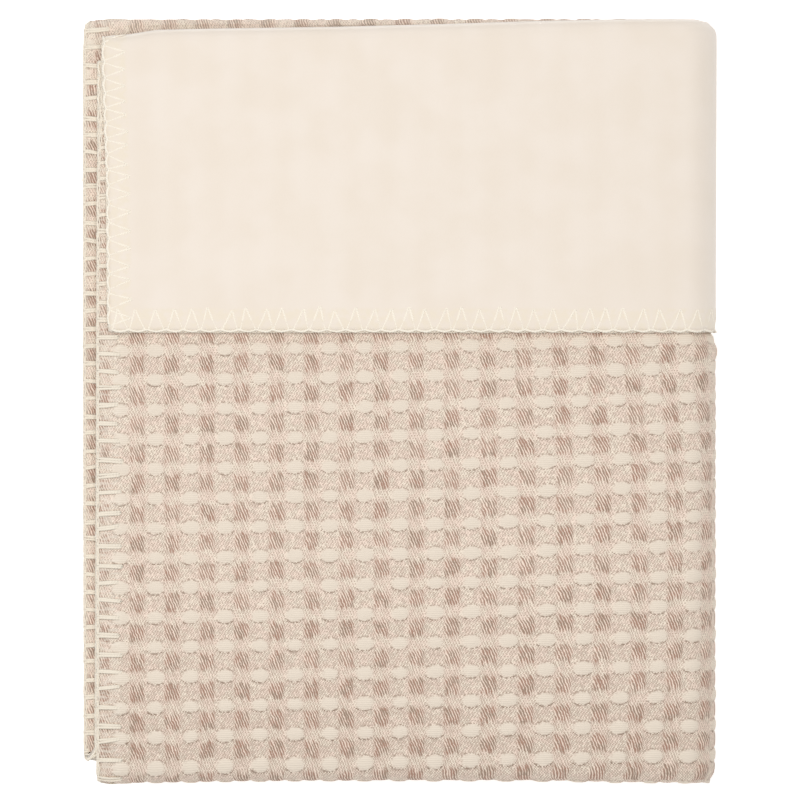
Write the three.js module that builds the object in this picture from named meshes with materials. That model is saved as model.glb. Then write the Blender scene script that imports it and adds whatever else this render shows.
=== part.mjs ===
import * as THREE from 'three';

// A folded bassinet blanket: a waffle cloth and a brushed lining of one cut size, lying on each other and folded
// together. Millimetres, +Z up. Looked down on, +X is to the right and +Y to the top of the folded blanket. The
// origin is in the middle of its footprint, on the surface that it lies on.
//
// The top edge is turned down as a flap with the lining outside. Then the cloth is folded in half twice
// lengthwise, into a pack of four layers, five under the flap. The pack is folded backwards twice across its
// width, into four quarters that lie on each other.

// Both cloths are cut to this length. Their width is what the four quarters and the side folds between them take.
const CUT_LENGTH = 1000;

// The outline of the folded blanket, looked down on
const OUTLINE = { left: -96.5, right: 96.5, bottom: -116.3, top: 116.3 };

// One layer of the blanket under the flap, from its waffle face down to the next layer
const LAYER = { waffle: 1.25, betweenPlies: 0.3, lining: 1.0, toNextLayer: 0.35 };
const CLOTH_THICKNESS = LAYER.waffle + LAYER.betweenPlies + LAYER.lining;
const TIGHT_PITCH = CLOTH_THICKNESS + LAYER.toNextLayer;

// Layers in a pack, and packs in the stack
const LAYERS_UNDER_FLAP = 5;
const LAYERS_BARE = 4;
const QUARTERS = 4;

// Away from the flap the layers are less pressed, so that the front of the blanket lies level all along.
const FRONT_LEVEL = (QUARTERS * LAYERS_UNDER_FLAP - 1) * TIGHT_PITCH;
const LOOSE_PITCH = FRONT_LEVEL / (QUARTERS * LAYERS_BARE);

// The free edge of the flap, and how far below it the layers start to draw together
const FLAP = { edge: 20.9, run: 10 };

// The inner bottom fold ends this far short of the outer one.
const INNER_FOLD_INSET = 6.5;

// The corner of a side fold grows with the fold's height and stays under this radius.
const SIDE_FOLD_ROUNDING = 9;

// The outermost cloth of the left side fold, at the middle of the blanket's width
const LEFT_FOLD_WALL = -95;

// The right side, from the bottom to the top: how far the outermost cloth stays inside the outline
const UPPER_BEND = 106;
const RIGHT_SIDE = [
  { y: OUTLINE.bottom, inset: 2.2 },
  { y: -112, inset: 0.7 },
  { y: FLAP.edge, inset: 0.4 },
  { y: UPPER_BEND, inset: 0 },
];
const TOP_CORNER = { length: 6.5, inset: 4 };

// The flap's fold line slants: how far it lies below the top of the outline, across the top quarter
const FLAP_FOLD_LINE = [
  { across: 0, drop: 5.8 },
  { across: 0.04, drop: 4.7 },
  { across: 0.09, drop: 3.2 },
  { across: 0.2, drop: 3.0 },
  { across: 0.4, drop: 2.5 },
  { across: 0.6, drop: 1.6 },
  { across: 0.76, drop: 0.7 },
  { across: 0.9, drop: 0.2 },
  { across: 1, drop: 0.1 },
];
const SLANT_FADES = { from: 112, to: 62 };
const LOWEST_SLANTED_LEVEL = 3;

// Each lengthwise fold turns the cloth over, between the layers with these numbers, counted from the pack's back.
const HALF_CLOTH = CLOTH_THICKNESS / 2;
const foldCentre = (edge, outward, layersApart, pitch) => {
  const radius = (layersApart / 2) * pitch + HALF_CLOTH * (pitch / TIGHT_PITCH);
  return edge - outward * radius;
};
const TOP_CENTRE = foldCentre(OUTLINE.top, 1, 1, TIGHT_PITCH);
const BOTTOM_CENTRE = foldCentre(OUTLINE.bottom, -1, 3, LOOSE_PITCH);
const INNER_BOTTOM_CENTRE = foldCentre(OUTLINE.bottom + INNER_FOLD_INSET, -1, 1, LOOSE_PITCH);

// What is left of the cut length ends the innermost layer.
const foldLength = (layersApart, pitch) => (Math.PI * layersApart * pitch) / 2;
const LENGTH_BEFORE_LAST_LAYER = [
  TOP_CENTRE - FLAP.edge,
  foldLength(1, TIGHT_PITCH),
  TOP_CENTRE - BOTTOM_CENTRE,
  foldLength(3, LOOSE_PITCH),
  TOP_CENTRE - BOTTOM_CENTRE,
  foldLength(1, TIGHT_PITCH),
  TOP_CENTRE - INNER_BOTTOM_CENTRE,
  foldLength(1, LOOSE_PITCH),
].reduce((sum, part) => sum + part, 0);
const FAR_END = INNER_BOTTOM_CENTRE + CUT_LENGTH - LENGTH_BEFORE_LAST_LAYER;

const RAMP_START = FLAP.edge - FLAP.run;

// The layers in the order in which the cloth passes through them, from the flap's free edge to the far end.
// level: layers above the pack's back. waffle: 1 where the waffle face looks away from the pack's back.
// A row of stops says where the layer is bent or widened: its place along Y, and where its two side edges lie,
// near in the top quarter and far in the quarter below it.
const PATH = [
  {
    level: 4.5,
    waffle: -1,
    stops: [
      { y: FLAP.edge, near: -89.1, far: -84 },
      { y: 66, near: -89.4, far: -84 },
      { y: UPPER_BEND, near: -90.7, far: -85 },
      { y: TOP_CENTRE, near: -90.8, far: -85 },
    ],
    fold: { side: 1, segments: 4, near: -90.6, far: -85 },
  },
  {
    level: 3.5,
    waffle: 1,
    stops: [
      { y: TOP_CENTRE, near: -90.6, far: -86 },
      { y: UPPER_BEND, near: -90.7, far: -86 },
      { y: 66, near: -92.2, far: -86 },
      { y: FLAP.edge, near: -92.4, far: -86 },
      { y: RAMP_START, near: -92.4, far: -86 },
      { y: BOTTOM_CENTRE, near: -92.4, far: -88 },
    ],
    fold: { side: -1, segments: 6, near: -92.2, far: -89 },
  },
  {
    level: 0.5,
    waffle: -1,
    stops: [
      { y: BOTTOM_CENTRE, near: -92.3, far: -90 },
      { y: RAMP_START, near: -93.6, far: -91 },
      { y: FLAP.edge, near: -94.2, far: -91 },
      { y: UPPER_BEND, near: -95.2, far: -92 },
      { y: TOP_CENTRE, near: -95.4, far: -92 },
    ],
    fold: { side: 1, segments: 4, near: -94.9, far: -92 },
  },
  {
    level: 1.5,
    waffle: 1,
    stops: [
      { y: TOP_CENTRE, near: -96.2, far: -92 },
      { y: UPPER_BEND, near: OUTLINE.left, far: -92 },
      { y: FLAP.edge, near: OUTLINE.left, far: -92 },
      { y: RAMP_START, near: OUTLINE.left, far: -92 },
      { y: INNER_BOTTOM_CENTRE, near: -96.3, far: -91 },
    ],
    fold: { side: -1, segments: 4, near: -94.5, far: -90 },
  },
  {
    level: 2.5,
    waffle: -1,
    stops: [
      { y: INNER_BOTTOM_CENTRE, near: -93, far: -89 },
      { y: RAMP_START, near: -92.4, far: -88 },
      { y: FLAP.edge, near: -92.3, far: -88 },
      { y: FAR_END, near: -92.1, far: -88 },
    ],
  },
];

// Places across the width, in the order in which the cloth passes them
const TOP_QUARTER_STEPS = FLAP_FOLD_LINE.map((row) => row.across);
const FLAT_STEPS = [0, 1];
const SIDE_FOLD_TURNS = [
  { degrees: 60, half: 1 },
  { degrees: 30, half: 1 },
  { degrees: 0, half: 1 },
  { degrees: 0, half: -1 },
  { degrees: -30, half: -1 },
  { degrees: -60, half: -1 },
];

const { lerp, smoothstep, degToRad } = THREE.MathUtils;

// Reads a column of a table of rows at a place between them.
function readTable(rows, key, column, at) {
  const last = rows.length - 1;
  if (at <= rows[0][key]) return rows[0][column];
  if (at >= rows[last][key]) return rows[last][column];
  const i = rows.findIndex((row) => row[key] > at);
  const share = (at - rows[i - 1][key]) / (rows[i][key] - rows[i - 1][key]);
  return lerp(rows[i - 1][column], rows[i][column], share);
}

const underFlap = (y) => smoothstep(y, RAMP_START, FLAP.edge);
const pitchAt = (y) => lerp(LOOSE_PITCH, TIGHT_PITCH, underFlap(y));
const packAt = (y) => lerp(LAYERS_BARE * LOOSE_PITCH, LAYERS_UNDER_FLAP * TIGHT_PITCH, underFlap(y));

// The middle of the cloth along its length, as stops with a height above the pack's back and the direction in
// which the waffle face looks, both in the plane of Y and the pack's height
function stopsAlongLength() {
  const stops = [];
  PATH.forEach((layer, i) => {
    for (const { y, near, far } of layer.stops) {
      const pitch = pitchAt(y);
      stops.push({ y, height: layer.level * pitch, turnY: 0, turnHeight: layer.waffle, pitch, near, far });
    }
    if (!layer.fold) return;
    const next = PATH[i + 1];
    const start = layer.stops[layer.stops.length - 1];
    const end = next.stops[0];
    const pitch = pitchAt(start.y);
    const centre = ((layer.level + next.level) / 2) * pitch;
    const radius = (Math.abs(layer.level - next.level) / 2) * pitch;
    const upward = Math.sign(layer.level - next.level);
    const waffleOutside = layer.waffle * upward;
    for (let k = 1; k < layer.fold.segments; k++) {
      const share = k / layer.fold.segments;
      const angle = Math.PI * share;
      const outY = layer.fold.side * Math.sin(angle);
      const outHeight = upward * Math.cos(angle);
      const edgeAt = (edge) =>
        share < 0.5
          ? lerp(start[edge], layer.fold[edge], share * 2)
          : lerp(layer.fold[edge], end[edge], share * 2 - 1);
      stops.push({
        y: start.y + radius * outY,
        height: centre + radius * outHeight,
        turnY: waffleOutside * outY,
        turnHeight: waffleOutside * outHeight,
        pitch,
        near: edgeAt('near'),
        far: edgeAt('far'),
        slants: i === 0,
      });
    }
  });
  return stops;
}

// The outermost cloth on the right side, with the plan's rounded corners
function rightWall(y) {
  const intoCorner = Math.max(0, y - (OUTLINE.top - TOP_CORNER.length)) / TOP_CORNER.length;
  return OUTLINE.right - readTable(RIGHT_SIDE, 'y', 'inset', y) - TOP_CORNER.inset * intoCorner ** 2;
}

// The three side folds. centre: the height that the fold turns about, in packs. reach: the fold's half height at a
// height h in a pack of thickness pack. Nested folds share their centre.
const HALF_GAP = LAYER.toNextLayer / 2;
const rightCentre = (y, pack) => rightWall(y) - (2 * pack - HALF_GAP);
const leftCentre = (y, pack) => LEFT_FOLD_WALL + (pack - HALF_GAP);
const SIDE_FOLDS = {
  outer: { side: 1, centre: 2, middle: rightCentre, reach: (h, pack) => pack + h },
  left: { side: -1, centre: 1, middle: leftCentre, reach: (h) => h },
  inner: { side: 1, centre: 2, middle: rightCentre, reach: (h, pack) => pack - h },
};

const rounding = (reach) => SIDE_FOLD_ROUNDING * (1 - Math.exp(-reach / SIDE_FOLD_ROUNDING));

// A point of a side fold: half is 1 on its upper corner and -1 on its lower one.
function onSideFold(name, y, h, pack, degrees, half) {
  const { side, centre, middle, reach } = SIDE_FOLDS[name];
  const radius = rounding(reach(h, pack));
  const flat = reach(h, pack) - radius;
  const angle = degToRad(degrees);
  return {
    x: middle(y, pack) + side * (flat + radius * Math.cos(angle)),
    z: centre * pack + half * flat + radius * Math.sin(angle),
  };
}

// The four quarters, in the order in which the cloth passes them, with their heights
const foldEnd = (name, degrees, half) => (y, h, pack) => onSideFold(name, y, h, pack, degrees, half).x;
const QUARTER_ROWS = [
  {
    steps: TOP_QUARTER_STEPS,
    from: (y, h, pack, stop) => stop.near,
    to: foldEnd('outer', 90, 1),
    z: (h, pack) => 3 * pack + h,
    fold: 'outer',
    down: true,
  },
  {
    steps: FLAT_STEPS,
    from: foldEnd('outer', -90, -1),
    to: foldEnd('left', -90, -1),
    z: (h, pack) => pack - h,
    fold: 'left',
    down: false,
  },
  {
    steps: FLAT_STEPS,
    from: foldEnd('left', 90, 1),
    to: foldEnd('inner', -90, -1),
    z: (h, pack) => pack + h,
    fold: 'inner',
    down: false,
  },
  {
    steps: FLAT_STEPS,
    from: foldEnd('inner', 90, 1),
    to: (y, h, pack, stop) => stop.far,
    z: (h, pack) => 3 * pack - h,
  },
];

// Every place across the width, as a function that gives x and z there
function placesAcrossWidth() {
  const places = [];
  QUARTER_ROWS.forEach((row, quarter) => {
    for (const step of row.steps) {
      places.push({
        across: quarter === 0 ? step : 1,
        at: (y, h, pack, stop) => ({
          x: lerp(row.from(y, h, pack, stop), row.to(y, h, pack, stop), step),
          z: row.z(h, pack),
        }),
      });
    }
    if (!row.fold) return;
    const turns = row.down ? SIDE_FOLD_TURNS : [...SIDE_FOLD_TURNS].reverse();
    for (const { degrees, half } of turns) {
      places.push({
        across: 1,
        at: (y, h, pack) => onSideFold(row.fold, y, h, pack, degrees, half),
      });
    }
  });
  return places;
}

// How far the slant of the flap's fold line moves a stop down
function slantAt(stop, across) {
  const nearFold = smoothstep(stop.y, SLANT_FADES.to, SLANT_FADES.from);
  const inFlap = stop.slants || stop.height > LOWEST_SLANTED_LEVEL * stop.pitch;
  return inFlap ? nearFold * readTable(FLAP_FOLD_LINE, 'across', 'drop', across) : 0;
}

// A point of one face of a cloth, offset from the blanket's middle towards the waffle side
function facePoint(stop, place, offset) {
  const grown = offset * (stop.pitch / TIGHT_PITCH);
  const pack = packAt(stop.y);
  const h = stop.height + stop.turnHeight * grown;
  const y = stop.y + stop.turnY * grown - slantAt(stop, place.across);
  const { x, z } = place.at(y, h, pack, stop);
  return [x, y, z - HALF_GAP * (stop.pitch / TIGHT_PITCH)];
}

// A closed sheet between two faces: a loop round the cloth's lengthwise section, carried across the width
function foldedSheet(upper, lower) {
  const stops = stopsAlongLength();
  const places = placesAcrossWidth();
  const loop = [
    ...stops.map((stop) => ({ stop, offset: upper })),
    ...stops.map((stop) => ({ stop, offset: lower })).reverse(),
  ];
  const points = places.flatMap((place) => loop.flatMap((c) => facePoint(c.stop, place, c.offset)));
  const index = [];
  const quad = (a, b, c, d) => index.push(a, b, c, a, c, d);
  const n = loop.length;
  for (let i = 0; i + 1 < places.length; i++) {
    for (let j = 0; j < n; j++) {
      const k = (j + 1) % n;
      quad(i * n + j, i * n + k, (i + 1) * n + k, (i + 1) * n + j);
    }
  }
  const last = (places.length - 1) * n;
  for (let j = 0; j + 1 < stops.length; j++) {
    const [a, b, c, d] = [j, j + 1, n - 2 - j, n - 1 - j];
    quad(d, c, b, a);
    quad(last + a, last + b, last + c, last + d);
  }
  const geometry = new THREE.BufferGeometry();
  geometry.setAttribute('position', new THREE.Float32BufferAttribute(points, 3));
  geometry.setIndex(index);
  geometry.computeVertexNormals();
  return geometry;
}

const waffleCotton = new THREE.MeshStandardMaterial({ color: 0xdbc9b9, roughness: 0.95, metalness: 0 });
const brushedCotton = new THREE.MeshStandardMaterial({ color: 0xf3e8db, roughness: 0.9, metalness: 0 });

const waffleFace = HALF_CLOTH;
const waffleBack = waffleFace - LAYER.waffle;
const liningBack = waffleBack - LAYER.betweenPlies;
const liningFace = liningBack - LAYER.lining;

const wafflePanel = new THREE.Mesh(foldedSheet(waffleFace, waffleBack), waffleCotton);
wafflePanel.name = 'waffle_panel';

const liningPanel = new THREE.Mesh(foldedSheet(liningBack, liningFace), brushedCotton);
liningPanel.name = 'lining_panel';

const group = new THREE.Group();
group.name = 'bassinet_blanket';
group.add(wafflePanel, liningPanel);

export default group;
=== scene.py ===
"""A folded bassinet blanket: a waffle cloth over a brushed lining, with an overlock stitch round both."""

import bpy
import numpy as np
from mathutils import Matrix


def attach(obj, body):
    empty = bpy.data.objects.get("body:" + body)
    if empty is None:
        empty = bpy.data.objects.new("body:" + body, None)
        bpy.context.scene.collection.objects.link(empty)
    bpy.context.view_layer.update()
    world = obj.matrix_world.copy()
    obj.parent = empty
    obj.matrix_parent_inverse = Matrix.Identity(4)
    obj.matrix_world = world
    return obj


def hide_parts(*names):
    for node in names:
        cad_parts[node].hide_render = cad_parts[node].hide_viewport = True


bl_info = {
    "name": "Folded Bassinet Blanket",
    "version": (1, 0, 0),
    "blender": (4, 5, 0),
    "location": "View3D > Sidebar > Blanket",
    "description": "Models a folded two-ply waffle blanket with its overlocked edge",
    "category": "Add Mesh",
}

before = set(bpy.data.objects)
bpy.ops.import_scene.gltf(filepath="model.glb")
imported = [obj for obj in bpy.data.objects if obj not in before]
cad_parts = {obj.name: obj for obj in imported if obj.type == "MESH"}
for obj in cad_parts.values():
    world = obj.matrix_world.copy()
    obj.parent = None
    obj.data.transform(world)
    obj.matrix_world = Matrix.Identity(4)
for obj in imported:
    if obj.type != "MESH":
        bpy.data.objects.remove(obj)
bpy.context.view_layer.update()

MM = 0.001

# Sizes are in millimetres, unless a comment says otherwise. First the cut cloth and the folded outline
TOP, BOTTOM, RIGHT = 116.3, -116.3, 96.5

# Each quarter of the width is a pack of four layers, or five under the flap. Bare layers take up more height.
WAFFLE_PLY, PLY_GAP, LINING_PLY, LAYER_GAP = 1.25, 0.3, 1.0, 0.35
QUARTERS, BARE_PACK, FLAP_PACK = 4, 4, 5
CLOTH = WAFFLE_PLY + PLY_GAP + LINING_PLY
TIGHT = CLOTH + LAYER_GAP
LOOSE = (QUARTERS * FLAP_PACK - 1) * TIGHT / (QUARTERS * BARE_PACK)

# Along Y: the flap's free edge, the ramp below it, and where the side edges bend near the top
FLAP_EDGE, FLAP_RUN, BEND = 20.9, 10.0, 106.0
RAMP = FLAP_EDGE - FLAP_RUN
# Where the layers begin to turn. The bottom folds' radii are in layers.
OUTER_RADIUS, INNER_RADIUS, INNER_FOLD_UP = 1.5, 0.5, 6.5
TOP_TURN = TOP - TIGHT / 2 - CLOTH / 2
BOTTOM_TURN = BOTTOM + (OUTER_RADIUS + CLOTH / 2 / TIGHT) * LOOSE
INNER_TURN = BOTTOM + INNER_FOLD_UP + (INNER_RADIUS + CLOTH / 2 / TIGHT) * LOOSE
# How the outer bottom fold is pressed: 1 is round, 0.5 nearly square.
PRESSED = 0.6

# The side folds' rounding, and the left ones, which draw in under the front towards the bottom
SIDE_ROUNDING = 9.0
LEFT_WALL, LEFT_DRAWN_IN, LEFT_DRAWS = -95.0, 3.0, (-109.0, -101.0)
# How far the right side lies in from RIGHT at places along Y, and its rounded top corner
RIGHT_INSET = ((BOTTOM, 0.3), (-112.0, 0.45), (FLAP_EDGE, 0.3), (BEND, 0.0))
CORNER_LENGTH, CORNER_INSET = 5.5, 3.2
# Just below the flap the side fold swells out again within a few millimetres.
SWELL, SWELL_RISES, SWELL_FADES = 1.9, (10.9, 16.5), (19.8, 21.4)
# The layers that turn under at the bottom fill its right corner.
CORNER_FILL, CORNER_TURNED = 0.95, 1
# The bottom corners reach further down than the fold between them.
CORNER_DIP, DIP_SIDEWAYS, DIP_DOWN = 0.75, (30, 95), (50, 112)
# How far the top fold drops, from its left end, 0, to its right end, 1, and where along Y that fades in
FLAP_FOLD_DROP = (
    (0, 5.0), (0.03, 5.1), (0.05, 4.6), (0.093, 3.4), (0.2, 3.0), (0.4, 2.5), (0.6, 1.6), (0.76, 0.7),
    (0.9, 0.2), (1, 0.1),
)
DROP_FADES = (62.0, 112.0)
# Shares by which the stack is lower at its folds, and the cloth thinner at its edge, each with its reach
RIGHT_SINK, TOP_SINK, BOTTOM_SINK = (0.05, 15.0), (0.03, 9.0), (0.075, 13.0)
EDGE_PINCH, EDGE_PINCH_REACH = 0.42, 1.6

# The cloth's path along its length, from the flap's free edge to the far end. Each layer has its level above
# the pack's back, in layers, the side that the waffle faces, and its stops: place along Y and the two side
# edges, near in the top quarter and far in the quarter under it.
FRONT_LEVEL, BACK_LEVEL = 3.5, 0.5
LAYERS = (
    (4.5, -1, ((FLAP_EDGE, -89.1, -84), (66, -89.4, -84), (BEND, -90.7, -85), (TOP_TURN, -90.8, -85))),
    (FRONT_LEVEL, 1, ((TOP_TURN, -90.6, -86), (BEND, -90.7, -86), (66, -92.2, -86), (FLAP_EDGE, -92.4, -86),
              (RAMP, -92.4, -86), (BOTTOM_TURN, -92.4, -88))),
    (BACK_LEVEL, -1, ((BOTTOM_TURN, -92.3, -90), (RAMP, -93.6, -91), (FLAP_EDGE, -94.2, -91),
              (BEND, -95.2, -92), (TOP_TURN, -95.4, -92))),
    (1.5, 1, ((TOP_TURN, -96.2, -92), (BEND, -96.5, -92), (FLAP_EDGE, -96.5, -92), (RAMP, -96.5, -92),
              (INNER_TURN, -96.3, -91))),
    (2.5, -1, ((INNER_TURN, -93, -89), (RAMP, -92.4, -88), (FLAP_EDGE, -92.3, -88), (103.4, -92.1, -88))),
)
# After each layer but the last: the fold's side, and its two side edges half way round
LENGTH_FOLDS = ((1, -90.6, -85), (-1, -92.2, -89), (1, -94.9, -92), (-1, -96.2, -90))
# The path's stretches are numbered, layers even and folds odd. These are the layers after the flap.
FRONT, BACK, STRIP, LAST = 2, 4, 6, 8
# The level above which the top edge slants, and how finely the path is sampled
SLANTS_ABOVE, PATH_STEP, FOLD_POINTS = 3, 0.5, 33

# Places across the width are numbered 0 to 13: four quarters, which run right, 1, or left, -1, with a corner,
# a wall and a corner at each side fold: its two angles, and 1 or -1 for the upper or lower half.
QUARTER_WAY = {"top": 1, "bottom": -1, "third": 1, "second": -1}
SIDE_FOLDS = {"outer": 1, "left": -1, "inner": 1}
SEGMENTS = (
    "top",
    ("outer", 90, 0, 1), ("outer", 0, 0, 0), ("outer", 0, -90, -1),
    "bottom",
    ("left", -90, 0, -1), ("left", 0, 0, 0), ("left", 0, 90, 1),
    "third",
    ("inner", -90, 0, -1), ("inner", 0, 0, 0), ("inner", 0, 90, 1),
    "second",
)
ACROSS_END = float(len(SEGMENTS))
FIRST_SEGMENT, LAST_SEGMENT = 0, len(SEGMENTS) - 1
# Where the columns are lined up: along Y, and the two side edges there
COLUMNS_MEET = (-50.0, -92.4, -86.0)

# The weave repeats in cells, counted from one oval. Its columns spread a little along X, by a share that
# changes along Y, and its rows rise.
FIRST_OVAL = (-74.75, 15.45)
COLUMN_SPREAD = (
    (-96, 0.7), (-70, 0.5), (-45, 0.3), (-20, 0.1), (15, 0), (30, 1), (66, 3.6), (80, 3.9),
)
SPREAD_SHARE = (
    (-112, 0.6), (-99, 0.7), (-88, 0.85), (-70, 0.97), (-33, 1), (-15, 0.95), (1.7, 0.5), (17, 0.4),
)
ROW_RISE = ((-96, -0.45), (-61, 0), (-18, 0.67), (24, 1.5), (70, 2.93), (96, 3.7))
# Up the back the rows slip, so that a row of blocks lies along the top fold.
ROW_SLIP, ROW_SLIP_MARGIN = 4.25, 20
# Under the front the columns do, so that one of blocks lies beside its left edge.
COLUMN_SLIP, COLUMN_SLIPS_IN = 3.9, 4
# Along the top fold the share of that slip grows to the right, until the slip is whole past it.
TOP_BAND_SLIP, PAST_TOP_BAND = ((-84.0, 0.0), (-18.0, 1.0)), (12, 30)
# Where ovals and blocks lie in a cell, and half the size of their raised pads
OVAL_SHIFT, BLOCK_SHIFT = 0.03, (0.55, 0.5)
OVAL_PAD, BLOCK_PAD = (2.3, 1.75), (2.2, 2.35)
# A block's height where an oval's is 1, the mean height, and how uneven both are
BLOCK_RISE, MEAN_RISE, UNEVEN = 0.75, 0.62, 0.08
# The weave stands out more towards the bottom.
RELIEF_GAIN, GAIN_RISES = 0.45, (-20, 110)

# For the colours: half an oval, the step between threads, their crossings, and the step inside an oval
OVAL_HALF, THREAD, CROSSING, OVAL_THREAD = (2.25, 1.75), 0.8, (0.42, 0.4), 0.58
# From the middle of a block: where it fades out across and along
BLOCK_ACROSS, BLOCK_ALONG = (1.6, 2.9), (1.9, 3.0)
# From the middle of an oval along Y: the dark arcs under and over it, which are partly its dark thread and
# partly painted shadow of its raised pad, and half the light row
ARC_BELOW, ARC_ABOVE, LIGHT_ROW = (-1.7, -0.7), (0.9, 1.8), 2.3
# From the first oval along Y: where the painted shade of the rows near the bottom fades, above and below
LOW_ROWS_TOP, LOW_ROWS_END = (-125.0, -60.0), (-165.0, -135.0)
# Half the rows of the painted highlight on the top fold, and how far past it the layers under the front begin
FOLD_HIGHLIGHT_ROWS, UNDER_FRONT_BEGINS = 12.0, (4, 10)
# From the cut edge: the overlock's fluff on either cloth, and its yarn on the layers under the front
WAFFLE_SEWN, LINING_SEWN, YARN_RIM = (5.5, 8.0), (6.2, 7.6), (0.8, 2.0)

# Where the first stitch of each edge begins, and how long its stitches are as a share of the usual one
STITCH_START = {"near": 1.5, "flap": 1.0, "far": 0.0, "end": 0.0}
STITCH_STRETCH = {"near": 1.0, "flap": 1.023, "far": 1.0, "end": 1.0}
# How uneven the stitches are, the distance between a bar's legs, and how a thread's width varies
SLANT_VARIES, FAN_VARIES, REACH_VARIES, SHIFT_VARIES = 0.45, 0.4, 0.35, 0.25
LEGS_APART, WIDTH_VARIES = (0.9, 1.7), 0.12
# Round the inner bottom fold, and a little past it, the bars are pressed in.
FOLD_MARGIN, PRESSED_REACH = 5, 0.15
# A thread's section, in half widths and heights. The flush one has its sides sunk in the cloth.
ROUND = np.stack([np.cos(np.pi * 0.4 * np.arange(5)), np.sin(np.pi * 0.4 * np.arange(5))])
FLUSH = np.array([(1, 0.5, 0, -0.5, -1, 0), (-1, 0.6, 1, 0.6, -1, -1.5)])
# A thread's path over one stitch: place along in stitches, share of the distance between the legs, share of
# the reach in from the edge, millimetres further in, side, from 1 on the waffle to -1 on the lining, lift off
# it, and share of the slant
HALF_BAR = (
    (-0.3, 0, 0, -0.10, 0.55, 0.0, 0),
    (0, -0.3, 0, -0.04, 0.85, 0.1, 0),
    (0, -0.26, 0.12, 0, 1, 0.2, 0.1),
    (0, -0.22, 0.5, 0, 1, 0.22, 0.5),
    (0, -0.2, 0.95, 0, 1, 0.08, 1),
)
OTHER_HALF = tuple((-along, -apart, *rest) for along, apart, *rest in reversed(HALF_BAR))
BARS = (*HALF_BAR, (0, 0, 1.0, 0.1, 1, -0.4, 1), *OTHER_HALF)
ZIGZAG = (
    (-0.5, 0, 0, -0.05, -0.5, 0.0, 0),
    (-0.42, 0, 0.1, 0, -1, 0.0, 0),
    (-0.2, 0, 0.55, 0, -1, -0.03, 0.5),
    (-0.03, 0, 0.97, 0, -1, -0.05, 1),
    (0.03, 0, 0.97, 0, -1, -0.05, 1),
    (0.2, 0, 0.55, 0, -1, -0.03, 0.5),
    (0.42, 0, 0.1, 0, -1, 0.0, 0),
)
RIM_FRONT = (
    (-0.5, 0, 0, 0.50, 1, 0.0, 0),
    (-0.2, 0, 0, 0.24, 1, 0.06, 0),
    (0.2, 0, 0, 0.24, 1, 0.06, 0),
)
RIM_BACK = (
    (-0.5, 0, 0, 0.60, -1, 0.05, 0),
    (-0.25, 0, 0, 0.14, -1, 0.05, 0),
    (0, 0, 0, -0.08, -1, 0.05, 0),
    (0.25, 0, 0, 0.14, -1, 0.05, 0),
)
# Path, half width, half height, section, and 1 for a thread that lies on the waffle
THREADS = (
    (BARS, 0.47, 0.22, ROUND, 1), (ZIGZAG, 0.45, 0.16, FLUSH, 0),
    (RIM_FRONT, 0.25, 0.15, ROUND, 1), (RIM_BACK, 0.42, 0.25, ROUND, 0),
)

# The stage, in metres. The camera frames this width and middle on the blanket's top face, at this height.
FLOOR_SIZE, FLOOR_LEVEL, FLOOR_GLOW = 6.0, -0.0008, 0.5
LAMP_PLACE, LAMP_TURN, LAMP_SIZE, LAMP_POWER = (-0.13, 0.1, 0.95), (-0.1, -0.135, 0), 0.55, 5.25
ROOM_LIGHT, LENS, SENSOR = 0.55, 1200.0, 36.0
VIEW_WIDTH, VIEW_MIDDLE, TOP_FACE = 243.9 * MM, (-0.18 * MM, -0.05 * MM), 0.0555

# The folded cloth


def smoothstep(x, low, high):
    """Rises smoothly from 0 at low to 1 at high."""
    t = np.clip((x - low) / (high - low), 0, 1)
    return t * t * (3 - 2 * t)


def table_value(rows, x):
    """Reads a two-column table between its rows."""
    keys, values = zip(*rows)
    return np.interp(x, keys, values)


def under_flap(y):
    """1 where the flap lies on the layers, 0 where they are bare."""
    return smoothstep(y, RAMP, FLAP_EDGE)


def pitch_at(y):
    """How much height one layer takes up."""
    return LOOSE + (TIGHT - LOOSE) * under_flap(y)


def pack_at(y):
    """How much height one quarter's pack of layers takes up."""
    return BARE_PACK * LOOSE + (FLAP_PACK * TIGHT - BARE_PACK * LOOSE) * under_flap(y)


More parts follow.
